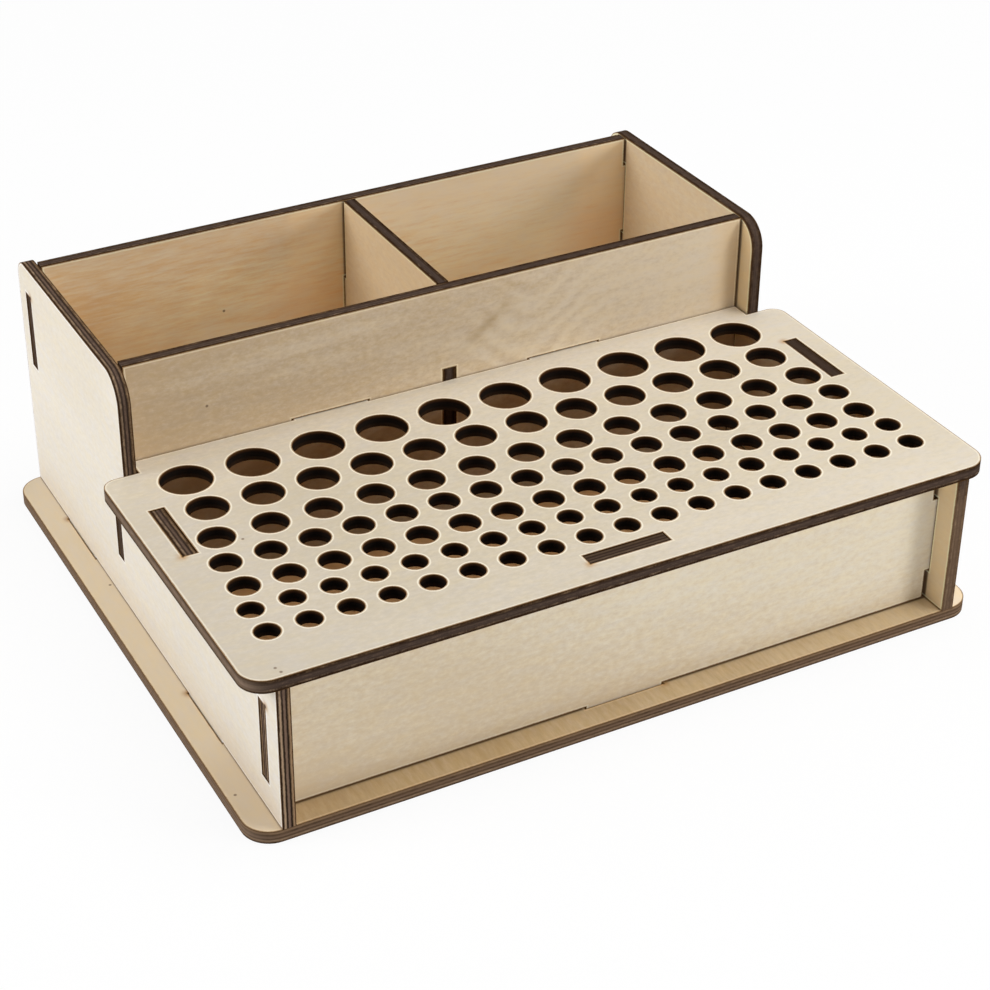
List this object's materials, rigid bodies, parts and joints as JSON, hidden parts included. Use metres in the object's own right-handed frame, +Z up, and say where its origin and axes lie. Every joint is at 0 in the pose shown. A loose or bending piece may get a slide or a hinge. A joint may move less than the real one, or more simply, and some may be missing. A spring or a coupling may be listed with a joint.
{
  "type": "tool storage caddy",
  "caption": "Slot-together plywood tool caddy: a perforated plate with rows of graded round tool holes over a low well, and two open bins behind it.",
  "frame": {"origin": "middle of the base plate's underside, on the surface that the caddy stands on", "axes": "+X to the right seen from the front, +Y from the front edge to the back, +Z up"},
  "size_m": [0.281, 0.2354, 0.1012],
  "materials": {
    "pale_plywood": "bare sanded plywood, pale cream face, laser-darkened edges",
    "tan_plywood": "bare sanded plywood, warm tan face, laser-darkened edges"
  },
  "bodies": {
    "root": {"base_plate": "tan_plywood", "left_side": "pale_plywood", "right_side": "pale_plywood", "front_panel": "pale_plywood", "riser_panel": "pale_plywood", "back_panel": "tan_plywood", "divider": "tan_plywood", "tool_plate": "pale_plywood"}
  },
  "joints": []
}
